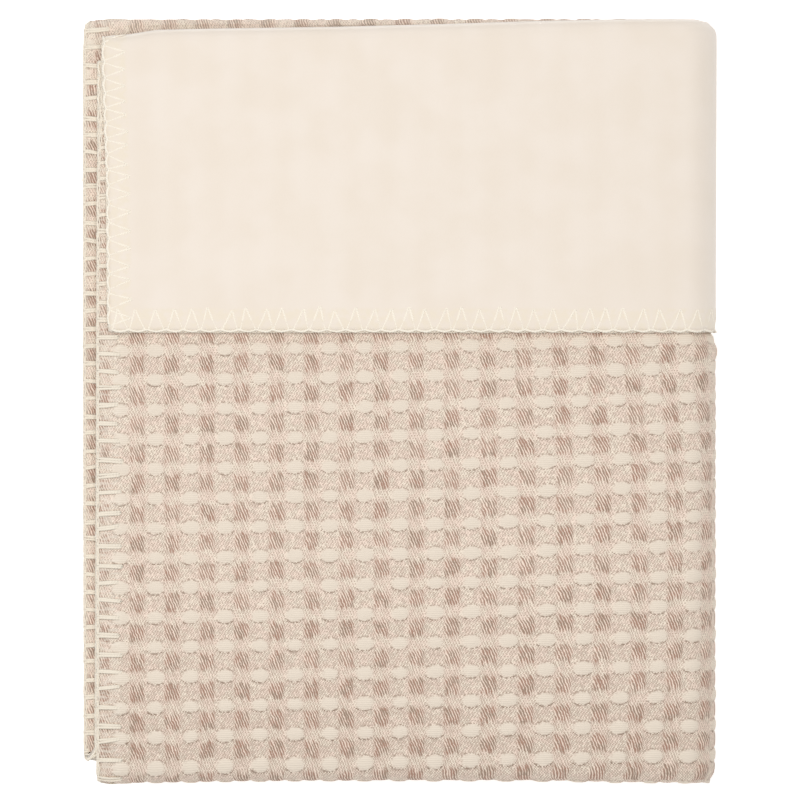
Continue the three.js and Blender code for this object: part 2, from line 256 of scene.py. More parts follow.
def follow_length():
    """Samples the middle of the blanket along its whole length, and numbers the stretches."""
    rows = []
    for i, (level, waffle, stops) in enumerate(LAYERS):
        ys, nears, fars = (np.array(column, float) for column in zip(*stops))
        count = int(abs(ys[-1] - ys[0]) / PATH_STEP) + 2
        y = np.linspace(ys[0], ys[-1], count)
        order = np.argsort(ys)
        near = np.interp(y, ys[order], nears[order])
        far = np.interp(y, ys[order], fars[order])
        pitch = pitch_at(y)
        flat = np.zeros(count)
        rows.append(np.stack([y, level * pitch, flat, flat + waffle, pitch, near, far, flat + 2 * i,
                              flat + (level > SLANTS_ABOVE)]))
        if i == len(LENGTH_FOLDS):
            break
        side, fold_near, fold_far = LENGTH_FOLDS[i]
        other = LAYERS[i + 1][0]
        pitch_here = pitch[-1]
        radius = abs(level - other) / 2 * pitch_here
        centre = (level + other) / 2 * pitch_here
        up = np.sign(level - other)
        share = np.linspace(0, 1, FOLD_POINTS)[1:-1]
        sine, cosine = np.sin(np.pi * share), np.cos(np.pi * share)
        turn_y, turn_h = waffle * up * side * sine, waffle * up * up * cosine
        if side < 0 and radius > pitch_here:
            sine, cosine = sine**PRESSED, np.sign(cosine) * np.abs(cosine) ** PRESSED
        ends = LAYERS[i + 1][2][0]
        near = np.interp(share, (0, 0.5, 1), (near[-1], fold_near, ends[1]))
        far = np.interp(share, (0, 0.5, 1), (far[-1], fold_far, ends[2]))
        flat = np.zeros(len(share))
        rows.append(np.stack([ys[-1] + radius * side * sine, centre + radius * up * cosine, turn_y, turn_h,
                              flat + pitch_here, near, far, flat + 2 * i + 1, flat + (i == 0)]))
    columns = np.concatenate(rows, axis=1)
    steps = np.hypot(np.diff(columns[0]), np.diff(columns[1]))
    length = np.concatenate([[0], np.cumsum(steps)])
    names = ("y", "height", "turn_y", "turn_h", "pitch", "near", "far", "stretch", "slants")
    return {"length": length, **dict(zip(names, columns))}


ALONG = follow_length()
FAR_LENGTH = ALONG["length"][-1]
# The two edges that run across the cloth, and their lengths along it
ACROSS_EDGES = {"flap": 0.0, "end": FAR_LENGTH}


def along_at(length):
    """The sampled path's columns at a length."""
    return {key: np.interp(length, ALONG["length"], column) for key, column in ALONG.items()}


def stretch_ends(number):
    """The lengths at which a stretch begins and ends."""
    inside = ALONG["length"][ALONG["stretch"] == number]
    return inside[0], inside[-1]


def fold_size(name, h, pack):
    """How far a layer at height h lies out from the middle of a side fold, and the radius of its corners."""
    reach = {"left": h, "outer": pack + h, "inner": pack - h}[name]
    return reach, SIDE_ROUNDING * (1 - np.exp(-reach / SIDE_ROUNDING))


def right_wall(y):
    """Where the blanket's right side lies along X."""
    corner = np.maximum(0, y - (TOP - CORNER_LENGTH)) / CORNER_LENGTH
    wall = RIGHT - table_value(RIGHT_INSET, y) - CORNER_INSET * corner**2
    return wall + SWELL * smoothstep(y, *SWELL_RISES) * (1 - smoothstep(y, *SWELL_FADES))


def side_fold(name, y, h, pack, degrees, half):
    """A point of a side fold. half is 1 on its upper corner, -1 on its lower one and between on its wall."""
    if name == "left":
        drawn = LEFT_DRAWN_IN * (1 - smoothstep(y, *LEFT_DRAWS))
        middle, centre = LEFT_WALL + drawn + pack - LAYER_GAP / 2, pack
    else:
        middle, centre = right_wall(y) - 2 * pack + LAYER_GAP / 2, 2 * pack
    if name == "outer":
        turned = smoothstep(y, BOTTOM_TURN, BOTTOM + CORNER_TURNED)
        middle = middle + CORNER_FILL * turned * np.clip(FRONT_LEVEL * LOOSE - h, 0, OUTER_RADIUS * LOOSE)
    reach, radius = fold_size(name, h, pack)
    flat = reach - radius
    angle = np.radians(degrees)
    x = middle + SIDE_FOLDS[name] * (flat + radius * np.cos(angle))
    return x, centre + half * flat + radius * np.sin(angle)


def quarter_ends(name, y, h, pack, near, far):
    """Where a quarter begins and ends along X, and its height."""

    def corner(fold, half):
        return side_fold(fold, y, h, pack, 90 * half, half)[0]

    if name == "top":
        return near, corner("outer", 1), 3 * pack + h
    if name == "bottom":
        return corner("outer", -1), corner("left", -1), pack - h
    if name == "third":
        return corner("left", 1), corner("inner", -1), pack + h
    return corner("inner", 1), far, 3 * pack - h


def segment_lengths(y, h, pack, near, far):
    """How long each numbered segment is at one place along the length."""
    lengths = []
    for segment in SEGMENTS:
        if isinstance(segment, str):
            begin, end, _ = quarter_ends(segment, y, h, pack, near, far)
            lengths.append(np.abs(end - begin))
        else:
            name, _, _, half = segment
            reach, radius = fold_size(name, h, pack)
            lengths.append(radius * np.pi / 2 if half else 2 * (reach - radius))
    return np.stack(lengths)


def sizes_along(at):
    """The segments' lengths where the sampled path has these values."""
    return segment_lengths(at["y"], at["height"], pack_at(at["y"]), at["near"], at["far"])


def segment_at(across):
    """Which segment a place across lies in, and how far along it."""
    segment = np.clip(np.floor(across).astype(int), FIRST_SEGMENT, LAST_SEGMENT)
    return segment, across - segment


def edge_sink(x, y):
    """The share by which the soft stack is lower towards its folds."""
    sinks = ((RIGHT_SINK, RIGHT - x), (TOP_SINK, TOP - y), (BOTTOM_SINK, y - BOTTOM))
    return sum(share * np.exp(-np.maximum(distance, 0) / reach) for (share, reach), distance in sinks)


def blanket_point(length, across, offset, lift=0.0):
    """Points of the folded blanket: offset from its middle towards the waffle, and lift beyond that face."""
    length, across, offset, lift = np.broadcast_arrays(length, across, offset, lift)
    inside = np.clip(length, 0, FAR_LENGTH)
    at = along_at(inside)
    segment, share = segment_at(across)
    pack = pack_at(at["y"])
    sizes = sizes_along(at)
    from_side = np.where(segment == FIRST_SEGMENT, share * sizes[FIRST_SEGMENT], np.inf)
    from_side = np.where(segment == LAST_SEGMENT, (1 - share) * sizes[LAST_SEGMENT], from_side)
    from_end = np.minimum(length, FAR_LENGTH - length)
    from_edge = np.minimum(np.abs(from_side), np.abs(from_end))
    pinch = 1 - EDGE_PINCH * np.exp(-((from_edge / EDGE_PINCH_REACH) ** 2))
    grown = (offset * pinch + lift * np.sign(offset)) * at["pitch"] / TIGHT
    h = at["height"] + at["turn_h"] * grown
    in_top = np.where(segment == FIRST_SEGMENT, np.clip(share, 0, 1), 1)
    drop = table_value(FLAP_FOLD_DROP, in_top) * smoothstep(at["y"], *DROP_FADES) * (at["slants"] > 0.5)
    y = at["y"] + at["turn_y"] * grown - drop + (length - inside)
    x, z = np.empty_like(h), np.empty_like(h)
    for number, name in enumerate(SEGMENTS):
        here = segment == number
        if not here.any():
            continue
        args = y[here], h[here], pack[here]
        t = share[here]
        if isinstance(name, str):
            begin, end, height = quarter_ends(name, *args, at["near"][here], at["far"][here])
            x[here], z[here] = begin + (end - begin) * t, height
            continue
        fold, start, stop, half = name
        if not half:
            half = 1 - 2 * t if fold == "outer" else 2 * t - 1
        x[here], z[here] = side_fold(fold, *args, start + (stop - start) * t, half)
    z = z - LAYER_GAP / 2 * at["pitch"] / TIGHT
    y = y - CORNER_DIP * smoothstep(np.abs(x), *DIP_SIDEWAYS) * smoothstep(-y, *DIP_DOWN)
    return np.stack([x, y, z * (1 - edge_sink(x, y))], axis=-1)


# The weave


def quarter_starts():
    """What to add to a quarter's own X for the flat cloth's, so that the weave's columns stay straight."""
    y, near, far = COLUMNS_MEET
    pack, starts = pack_at(y), {"top": 0.0}
    for number, level in ((0, FRONT_LEVEL), (4, FRONT_LEVEL), (8, BACK_LEVEL)):
        before, after = SEGMENTS[number], SEGMENTS[number + 4]
        h = level * pitch_at(y)
        end = quarter_ends(before, y, h, pack, near, far)[1]
        begin = quarter_ends(after, y, h, pack, near, far)[0]
        size = segment_lengths(y, h, pack, near, far)[number + 1 : number + 4].sum()
        starts[after] = starts[before] + QUARTER_WAY[before] * end + size - QUARTER_WAY[after] * begin
    return starts


QUARTER_STARTS = quarter_starts()


def cloth_place(length, across):
    """The flat cloth's own X and Y for a place, and how far it is drawn together there: 1 is not at all."""
    length, across = np.broadcast_arrays(length, across)
    at = along_at(length)
    pack, sizes = pack_at(at["y"]), sizes_along(at)
    segment, share = segment_at(across)
    ends = {}
    for number, name in enumerate(SEGMENTS):
        if isinstance(name, str):
            begin, end, _ = quarter_ends(name, at["y"], at["height"], pack, at["near"], at["far"])
            ends[number] = [QUARTER_STARTS[name] + QUARTER_WAY[name] * place for place in (begin, end)]
    x, drawn = np.empty(length.shape), np.ones(length.shape)
    for number, name in enumerate(SEGMENTS):
        here = segment == number
        if isinstance(name, str):
            begin, end = ends[number]
            x[here] = (begin + (end - begin) * share)[here]
            continue
        quarter = number - number % 4
        begin, end = ends[quarter][1], ends[quarter + 4][0]
        whole = sizes[quarter + 1 : quarter + 4].sum(axis=0)
        passed = sizes[quarter + 1 : number].sum(axis=0) + share * sizes[number]
        x[here] = (begin + (end - begin) * passed / whole)[here]
        drawn[here] = np.minimum(1, whole / (end - begin))[here]
    return x, TOP_TURN + stretch_ends(FRONT)[0] - length, drawn


def weave_place(length, across, cell):
    """Columns and rows of the weave at a place, counted in cells from the middle of one cream oval."""
    x, y, _ = cloth_place(length, across)
    back_begins, back_ends = stretch_ends(BACK)
    spread = table_value(COLUMN_SPREAD, x) * np.where(x > 0, table_value(SPREAD_SHARE, y), 1)
    past_top = smoothstep(length, back_ends + PAST_TOP_BAND[0], back_ends + PAST_TOP_BAND[1])
    slipped = smoothstep(length, back_ends, back_ends + COLUMN_SLIPS_IN)
    slipped = slipped * np.maximum(table_value(TOP_BAND_SLIP, x), past_top)
    column = (x - FIRST_OVAL[0] - spread + COLUMN_SLIP * slipped) / cell[0]
    slip = ROW_SLIP * smoothstep(length, back_begins + ROW_SLIP_MARGIN, back_ends - ROW_SLIP_MARGIN)
    row = (y - FIRST_OVAL[1] - table_value(ROW_RISE, x) + slip) / cell[1]
    return column, row


def edge_distance(length, across):
    """How far a place is from the nearest cut edge, in millimetres."""
    length, across = np.broadcast_arrays(length, across)
    sizes = sizes_along(along_at(length))
    from_near = np.where(across < 1, across * sizes[FIRST_SEGMENT], np.inf)
    from_far = np.where(across > LAST_SEGMENT, (ACROSS_END - across) * sizes[LAST_SEGMENT], np.inf)
    return np.minimum.reduce([length, FAR_LENGTH - length, from_near, from_far])


def pillow(column, row, cell, half_size):
    """A soft-edged pad round the nearest whole number of cells."""
    x = np.abs(column - np.round(column)) * cell[0] / half_size[0]
    y = np.abs(row - np.round(row)) * cell[1] / half_size[1]
    return 1 / (1 + (x**3 + y**3) ** 2)


def weave_relief(column, row, cell, depth):
    """Height of the waffle face over its mean plane: pads of floats with valleys round them."""
    oval = pillow(column + OVAL_SHIFT, row, cell, OVAL_PAD)
    block = pillow(column + BLOCK_SHIFT[0], row + BLOCK_SHIFT[1], cell, BLOCK_PAD)
    uneven = UNEVEN * np.sin(1.7 * column + 0.9 * np.sin(row)) * np.cos(1.3 * row + column)
    return depth * (oval + BLOCK_RISE * block - MEAN_RISE + uneven)


# Meshes


def even_places(counts, first=None):
    """Places across the width, from each segment's number of steps or the first segment's own places."""
    places = [np.arange(n) / n + i for i, n in enumerate(counts)]
    if first is not None:
        places[0] = first
    return np.concatenate([*places, [ACROSS_END]])


# Rows of vertices across the width, by their steps in each segment, and two of them in the top quarter by
# their millimetres of its width
TOP_QUARTER = 178
FRONT_PLACES = even_places((168, 12, 32, 12, 130, 9, 9, 9, 3, 4, 2, 4, 3))
FOLD_PLACES = even_places((168, 12, 32, 12, 130, 9, 9, 9, 60, 6, 3, 6, 50))
STRIP_PLACES = even_places((1, 4, 2, 4, 3, 4, 2, 4, 3, 4, 2, 4, 3),
                           np.array([0, 1, 2, 3, 4.2, 5.6, 8, 60, 120]) / TOP_QUARTER)
PLAIN_PLACES = even_places((6, 4, 2, 4, 4, 4, 2, 4, 4, 4, 2, 4, 4),
                           np.array([0, 1, 3, 8, 60, 120]) / TOP_QUARTER)
LINING_PLACES = even_places((120, 8, 12, 8, 40, 6, 4, 6, 20, 4, 2, 4, 14))
# Steps along the length: under the flap, on the back, round the top fold, past the strip and on inner faces
COVERED_STEP, BACK_STEP, TURN_STEP, LAST_STEP, INNER_STEP = 6.0, 4.0, 0.6, 3.0, 5.0
# The weave's rows for each cell, and how far under the flap they start
CELL_ROWS, WEAVE_UNDER_FLAP = 9, 2.5
# The lining's steps on the flap, how far past its fold they go, and its other steps
FLAP_STEP, PAST_FLAP, LINING_STEP = 1.5, 4, 4.0


def rows_between(begin, end, step):
    """Evenly spaced lengths from the beginning up to but without the end."""
    count = max(1, int(round((end - begin) / step)))
    return begin + (end - begin) * np.arange(count) / count


def rows_to_end(begin, step):
    """Evenly spaced lengths from the beginning to the cloth's far end."""
    return np.append(rows_between(begin, FAR_LENGTH, step), FAR_LENGTH)


def zip_rows(first, first_at, second, second_at):
    """Triangles between two rows of vertices that share their ends but not their spacing."""
    first_at, second_at = [*first_at, np.inf], [*second_at, np.inf]
    faces, i, j = [], 0, 0
    while i + j < len(first) + len(second) - 2:
        if first_at[i + 1] <= second_at[j + 1]:
            faces.append((first[i], first[i + 1], second[j]))
            i += 1
        else:
            faces.append((first[i], second[j + 1], second[j]))
            j += 1
    return faces


def face_grid(bands, offset, start, relief=None):
    """One face of a cloth: rows of vertices along the length, band by band, with the faces between them."""
    points, rows, flat, faces = [], [], [], []
    index = start
    for lengths, places in bands:
        along, across = np.meshgrid(lengths, places, indexing="ij")
        lift = relief(along, across) if relief else 0.0
        points.append(blanket_point(along, across, offset, lift).reshape(-1, 3))
        flat.append(np.stack([along, across], -1).reshape(-1, 2))
        ids = index + np.arange(along.size).reshape(along.shape)
        index += along.size
        faces.append(np.stack([ids[:-1, :-1], ids[:-1, 1:], ids[1:, 1:], ids[1:, :-1]], -1).reshape(-1, 4))
        if rows:
            faces.append(zip_rows(rows[-1][1], rows[-1][2], ids[0], places))
        rows.extend((length, row, places) for length, row in zip(lengths, ids))
    faces = [np.asarray(group) for group in faces if len(group)]
    return np.concatenate(points), np.concatenate(flat), rows, faces


def side_row(rows, end):
    """The vertices at one end of every row, and their lengths."""
    return [row[end] for _, row, _ in rows], [length for length, _, _ in rows]


def closed_sheet(name, outer_bands, inner_bands, outer, inner, relief=None):
    """A closed sheet of cloth between two of the blanket's faces."""
    points, flat, rows, faces = face_grid(outer_bands, outer, 0, relief)
    back_points, back_flat, back_rows, back_faces = face_grid(inner_bands, inner, len(points))
    seams = (
        zip_rows(*back_rows[0][1:], *rows[0][1:]),
        zip_rows(*rows[-1][1:], *back_rows[-1][1:]),
        zip_rows(*side_row(rows, 0), *side_row(back_rows, 0)),
        zip_rows(*side_row(back_rows, -1), *side_row(rows, -1)),
    )
    groups = [*faces, *(group[:, ::-1] for group in back_faces), *(np.asarray(seam) for seam in seams)]
    return make_mesh(name, np.concatenate([points, back_points]), groups), np.concatenate([flat, back_flat])


def signed_volume(vertices, groups):
    """More than 0 where the faces point outwards."""
    total = 0.0
    for group in groups:
        a = vertices[group[:, 0]]
        for k in range(1, group.shape[1] - 1):
            total += np.einsum("ij,ij->", a, np.cross(vertices[group[:, k]], vertices[group[:, k + 1]]))
    return total


def make_mesh(name, vertices, groups):
    """A closed, smooth-shaded mesh object from vertices in millimetres and groups of faces."""
    if signed_volume(vertices, groups) < 0:
        groups = [group[:, ::-1] for group in groups]
    mesh = bpy.data.meshes.new(name)
    sizes = np.concatenate([np.full(len(group), group.shape[1]) for group in groups])
    corners = np.concatenate([group.ravel() for group in groups]).astype(np.int32)
    mesh.vertices.add(len(vertices))
    mesh.vertices.foreach_set("co", (vertices * MM).astype(np.float32).ravel())
    mesh.loops.add(len(corners))
    mesh.loops.foreach_set("vertex_index", corners)
    mesh.polygons.add(len(sizes))
    mesh.polygons.foreach_set("loop_start", (np.cumsum(sizes) - sizes).astype(np.int32))
    mesh.update(calc_edges=True)
    if mesh.validate():
        raise RuntimeError(f"{name}: its faces don't make a clean mesh")
    mesh.polygons.foreach_set("use_smooth", np.ones(len(sizes), bool))
    piece = bpy.data.objects.new(name, mesh)
    bpy.context.scene.collection.objects.link(piece)
    return piece


def lay_map(piece, name, places):
    """Gives a piece its own UV map from one place for each vertex."""
    layer = piece.data.uv_layers.new(name=name)
    corners = np.empty(len(piece.data.loops), np.int32)
    piece.data.loops.foreach_get("vertex_index", corners)
    layer.uv.foreach_set("vector", places[corners].astype(np.float32).ravel())


def mark(piece, name, values):
    """Stores a number for each vertex, for the materials."""
    layer = piece.data.attributes.new(name, "FLOAT", "POINT")
    layer.data.foreach_set("value", values.astype(np.float32))


def mark_distance(piece, flat):
    """Marks how far each vertex is from the cut edge, and which are in the top layers under the front, where
    the waffle's material paints the front's shade.
    """
    length, across = flat.T
    mark(piece, "from_edge", edge_distance(length, across))
    begins = [stretch_ends(BACK)[1] + past for past in UNDER_FRONT_BEGINS]
    mark(piece, "under_front", smoothstep(length, *begins) * (across < 1))


def finish_piece(piece, material, slot, *nodes):
    """Puts a piece's material, body and replaced nodes in place. Its slot is not used."""
    piece.data.materials.append(material)
    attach(piece, "root")
    if nodes:
        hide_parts(*nodes)


# Materials


def linear(colour):
    """A displayed colour, 0 to 1, as Blender's own."""
    c = np.array(colour, float)
    c = np.where(c <= 0.04045, c / 12.92, ((c + 0.055) / 1.055) ** 2.4)
    return (*c, 1.0)


def set_inputs(node, values):
    """Sets plain values on a node's own sockets."""
    for name, value in values.items():
        node.inputs[name].default_value = value


class Amount:
    """A number or colour that varies over a cloth. Arithmetic with it adds nodes to the cloth's material."""

    def __init__(self, weaver, socket):
        self.weaver = weaver
        self.socket = socket

    def __add__(self, other):
        return self.weaver.maths("ADD", self, other)

    def __sub__(self, other):
        return self.weaver.maths("SUBTRACT", self, other)

    def __rsub__(self, other):
        return self.weaver.maths("SUBTRACT", other, self)

    def __mul__(self, other):
        return self.weaver.maths("MULTIPLY", self, other)

    def __truediv__(self, number):
        return self * (1 / number)

    def __pow__(self, other):
        return self.weaver.maths("POWER", self, other)

    def __abs__(self):
        return self.weaver.maths("ABSOLUTE", self)


class Weaver:
    """Adds nodes to a material, one for each step of a pattern."""

    def __init__(self, name, roughness, sheen):
        self.material = bpy.data.materials.new(name)
        self.material.use_nodes = True
        self.tree = self.material.node_tree
        self.shader = self.tree.nodes["Principled BSDF"]
        set_inputs(self.shader, {"Roughness": roughness, "Specular IOR Level": 0.2, "Sheen Weight": sheen,
                                 "Sheen Roughness": 0.6})

    def put(self, socket, value):
        """Links an amount to a socket, or sets a plain value there."""
        if isinstance(value, Amount):
            self.tree.links.new(value.socket, socket)
        else:
            socket.default_value = value

    def node(self, kind, settings, inputs, output=0):
        """A new node with its settings and its inputs, by name or number."""
        made = self.tree.nodes.new(kind)
        for key, value in settings.items():
            setattr(made, key, value)
        for key, value in inputs.items():
            self.put(made.inputs[key], value)
        return Amount(self, made.outputs[output])

    def maths(self, operation, *values):
        return self.node("ShaderNodeMath", {"operation": operation}, dict(enumerate(values)))

    def vector(self, operation, *values):
        return self.node("ShaderNodeVectorMath", {"operation": operation}, dict(enumerate(values)))

    def map(self, name):
        return self.node("ShaderNodeUVMap", {"uv_map": name}, {})

    def marked(self, name):
        return self.node("ShaderNodeAttribute", {"attribute_name": name}, {}, 2)

    def pair(self, first, second):
        return self.node("ShaderNodeCombineXYZ", {}, {0: first, 1: second})

    def parts(self, pair):
        """The two numbers of a pair."""
        whole = self.node("ShaderNodeSeparateXYZ", {}, {0: pair})
        return whole, Amount(self, whole.socket.node.outputs[1])

    def noise(self, place, scale, detail=2.0, output=0):
        inputs = {"Vector": place, "Scale": scale, "Detail": detail}
        return self.node("ShaderNodeTexNoise", {}, inputs, output)

    def crossings(self, first, second):
        """Two random numbers for each crossing of two sets of threads, which are numbered by their places."""
        cell = self.vector("FLOOR", self.pair(first, second))
        shifted = self.vector("ADD", cell, (71.0, 37.0, 0.0))
        flat = {"noise_dimensions": "2D"}
        return [self.node("ShaderNodeTexWhiteNoise", flat, {"Vector": place}) for place in (cell, shifted)]

    def from_nearest(self, place, shift, size):
        """Millimetres to the middle of the nearest cell, shifted by a share of a cell."""
        moved = place + shift if shift else place
        return (moved - self.maths("ROUND", moved)) * size

    def sine(self, place, length):
        return self.maths("SINE", place * (2 * np.pi / length))

    def wave(self, place, length):
        """A sine between 0 and 1 that repeats after a length."""
        return self.maths("MULTIPLY_ADD", self.sine(place, length), 0.5, 0.5)

    def rise(self, value, low, high, to_low=0.0, to_high=1.0):
        """Goes smoothly from to_low at low to to_high at high."""
        inputs = {"Value": value, "From Min": low, "From Max": high, "To Min": to_low, "To Max": to_high}
        return self.node("ShaderNodeMapRange", {"interpolation_type": "SMOOTHSTEP"}, inputs)

    def fall(self, value, low, high):
        """Goes smoothly from 1 at low to 0 at high."""
        return self.rise(value, low, high, 1.0, 0.0)

    def hump(self, value, middle, half):
        """1 at the middle, falling smoothly to 0 on both sides."""
        return self.fall(abs(value - middle), 0.0, half)

    def blend(self, share, first, second):
        """A number that is mixed from two by a share."""
        return self.node("ShaderNodeMix", {}, {0: share, 2: first, 3: second})

    def mix(self, share, first, second):
        """A colour that is mixed from two by a share."""
        return self.node("ShaderNodeMix", {"data_type": "RGBA"}, {0: share, 6: first, 7: second}, 2)

    def finish(self, colour, height, distance, strength):
        """Gives the cloth its colour and its bump, and returns the finished material."""
        self.put(self.shader.inputs["Base Color"], colour)
        bump = self.node("ShaderNodeBump", {}, {"Strength": strength, "Distance": distance, "Height": height})
        self.put(self.shader.inputs["Normal"], bump)
        return self.material


def waffle_cotton(colours, cell):
    """The waffle cloth: cream ovals, slanting taupe floats between them, and a salt-and-pepper ground."""
    w = Weaver("waffle_cotton", roughness=0.9, sheen=0.1)
    uv = w.map("weave")
    drift = w.noise(uv, 0.55, 1.0, output=1)
    column, row = w.parts(w.vector("MULTIPLY_ADD", drift, (0.07, 0.07, 0.0), uv))
    x_mm, y_mm = column * cell[0], row * cell[1]
    rough, broad = w.noise(uv, 7.0) - 0.5, w.noise(uv, 0.9) - 0.5
    wander = rough * 0.8
    # Millimetres from the nearest oval, and from the nearest block, which lies half a cell off both ways
    oval_x, oval_y = w.from_nearest(column, OVAL_SHIFT, cell[0]), w.from_nearest(row, 0.0, cell[1])
    block_x = w.from_nearest(column, BLOCK_SHIFT[0], cell[0])
    block_y = w.from_nearest(row, BLOCK_SHIFT[1], cell[1])

    # Threads lean to the right as they go down. Each crossing shows its light or its dark thread.
    lean = x_mm + y_mm * 0.4 + wander
    crossing, tint = w.crossings(lean / CROSSING[0], y_mm / CROSSING[1])
    chance = crossing - 0.5
    strand = w.noise(w.pair(lean * 1.1, y_mm * 0.22), 1.0, 1.5)
    floats = w.fall(strand * 0.9 + w.wave(lean, THREAD) * 0.6 + chance * 0.2, 0.58, 1.0)

    # An oval ends at about 1, a little sooner or later for each oval and each thread.
    from_oval = (abs(oval_x) / OVAL_HALF[0]) ** 2.0 + (abs(oval_y) / OVAL_HALF[1]) ** 2.2 + rough * 0.35
    _, size = w.crossings(column + (0.5 + OVAL_SHIFT), row + 0.5)
    from_oval = from_oval + (size - 0.5) * 0.45
    oval = w.fall(from_oval + chance * 0.5, 0.5, 1.95)
    rim = w.hump(from_oval, 1.6, 0.75)
    below, above = rim * w.fall(oval_y, *ARC_BELOW), rim * w.rise(oval_y, *ARC_ABOVE)
    in_column = w.fall(abs(block_x) + rough * 1.8, *BLOCK_ACROSS)
    ragged = rough * 0.8 + (strand - 0.5) * 4.2
    block = w.fall(abs(block_y) + ragged, *BLOCK_ALONG) * in_column
    under = w.marked("under_front")
    # Painted shade: the rows towards the bottom are darker.
    low_rows_shade = w.fall(y_mm, *LOW_ROWS_TOP) * w.rise(y_mm, *LOW_ROWS_END)

    # How much of the dark thread shows: less in the ovals' rows, and more in the blocks' columns. Every other
    # crossing shows its dark thread first, so the ground is a broken checker.
    # Round each oval more dark thread shows, heavier below it: painted shadow of its raised pad.
    dark = below * 0.1 + above * 0.05 + (rough * 0.12 + 0.345)
    dark = dark - w.hump(oval_y, 0.0, LIGHT_ROW) * 0.07
    dark = dark + (floats - 0.45) * (in_column * 0.3 + 0.12)
    # The rows near the bottom show more dark thread: painted shade.
    dark = dark + low_rows_shade * 0.08
    checker = w.sine(lean, 2 * CROSSING[0]) * w.sine(y_mm, 2 * CROSSING[1])
    turn = checker * 0.34 + (chance * 0.4 + 0.5)
    # Painted shade: under the front and in the rows near the bottom the blocks show more dark thread.
    in_block = floats * 0.95 + broad * 0.6 + (under + low_rows_shade) * 0.1
    shown = w.blend(block, w.rise(turn + dark, 0.72, 1.24), in_block)

    patches = w.noise(uv, 3.1, 1.0) + (tint - 0.5) * 0.2
    light = w.mix(w.rise(patches, 0.38, 0.64), colours["light"], colours["ground"])
    light = w.mix(block, light, colours["pink"])
    deep = w.mix(w.rise(patches, 0.4, 0.62), colours["taupe"], colours["umber"])
    colour = w.mix(shown, light, w.mix(block * 0.9, colours["dot"], deep))
    # The dark arcs paint the shadow round each oval's pad in umber, heavier under it and near the bottom,
    # over the weave's own dark thread.
    arcs = (below * 0.8 + above * 0.45) * (low_rows_shade * 0.35 + 1.0) * w.rise(crossing + checker * 0.3, 0.2, 0.8)
    colour = w.mix(arcs * (1.0 - block), colour, colours["umber"])
    level = w.wave(y_mm + wander * 0.5, OVAL_THREAD)
    colour = w.mix(oval, colour, w.mix(level * 0.4, colours["cream"], colours["cream_shade"]))

    # The overlock's fluff lies over the weave in streaks. Under the front most of it is left out, which
    # paints the front's shade on the layers there, and its yarn covers the rim alone.
    from_edge = w.marked("from_edge")
    streaks = w.noise(w.pair(x_mm * 0.3, y_mm * 1.1), 1.0)
    sewn = w.fall(from_edge, *WAFFLE_SEWN) * w.rise(streaks, 0.42, 0.62, 0.05, 0.6) * (1.0 - under * 0.8)
    covered = w.rise(from_edge + rough * 2.0, *YARN_RIM, 0.4, 0.0) * under
    colour = w.mix(w.maths("MAXIMUM", sewn, covered), colour, colours["fluff"])
    # A painted highlight: the top fold of the layers behind the flap is lightened with the fluff colour, as
    # if it caught more light than the rest.
    fold_row = TOP_TURN + stretch_ends(FRONT)[0] - stretch_ends(BACK)[1] - FIRST_OVAL[1]
    colour = w.mix(w.hump(y_mm, fold_row, FOLD_HIGHLIGHT_ROWS) * 0.2, colour, colours["fluff"])

    height = w.blend(in_column * 0.6, 1.0 - shown * 0.8, 1.0 - floats)
    height = w.blend(oval, height, level * 0.4 + 0.6)
    return w.finish(colour, height, 0.25 * MM, 0.8)


def brushed_cotton(colours):
    """The lining: a faint nap, and fainter stripes along the length. Its map is in metres."""
    w = Weaver("brushed_cotton", roughness=0.95, sheen=0.35)
    uv = w.map("cloth")
    cloudy, nap = w.noise(uv, 60.0, 3.0), w.noise(uv, 900.0, 3.0)
    stripe = w.wave(w.parts(uv)[0] + cloudy * (4 * MM), 10.6 * MM)
    tone = w.rise(cloudy, 0.35, 0.65) * 0.7 + stripe * 0.3
    colour = w.mix(tone, colours["nap_shade"], colours["nap"])
    # Under the overlock's zigzag the yarn's fluff covers the cloth unevenly.
    fluff = w.rise(w.noise(uv, 420.0), 0.38, 0.62, 0.15, 0.8)
    sewn = w.fall(w.marked("from_edge"), *LINING_SEWN)
    colour = w.mix(sewn * fluff, colour, colours["band"])
    return w.finish(colour, nap * 0.6 + cloudy * 0.6, 0.3 * MM, 0.24)


def overlock_yarn(colours):
    """Soft twisted yarn. Its map has the place round it, from 0 to 1, and the place along it, in metres."""
    w = Weaver("overlock_yarn", roughness=0.85, sheen=0.2)
    uv = w.map("yarn")
    around, along = w.parts(uv)
    twist = w.wave(around * (0.9 * MM) + along, 0.9 * MM)
    patches = w.noise(uv, 400.0)
    colour = w.mix((twist + patches) * 0.5, colours["yarn_shade"], colours["yarn"])
    # The thread on the waffle side is duller than the one on the lining.
    dull = w.mix(patches * 0.9, colours["front_yarn"], colours["yarn_shade"])
    colour = w.mix(w.marked("on_waffle"), colour, dull)
    return w.finish(colour, twist, 0.1 * MM, 0.7)


# Overlock stitches


def edge_total(edge):
    """How long one of the cloth's four edges is."""
    if edge in ACROSS_EDGES:
        return float(sizes_along(along_at(ACROSS_EDGES[edge])).sum())
    return FAR_LENGTH


def edge_place(edge, along, inset):
    """Length and place across for a point beside one of the cloth's four edges."""
    if edge in ACROSS_EDGES:
        sizes = sizes_along(along_at(ACROSS_EDGES[edge]))
        ends = np.concatenate([[0], np.cumsum(sizes)])
        across = np.interp(along, ends, np.arange(len(ends)))
        across = across + np.minimum(along, 0) / sizes[0] + np.maximum(along - ends[-1], 0) / sizes[-1]
        return (inset if edge == "flap" else FAR_LENGTH - inset), across
    sizes = sizes_along(along_at(np.clip(along, 0, FAR_LENGTH)))
    return along, inset / sizes[0] if edge == "near" else ACROSS_END - inset / sizes[-1]


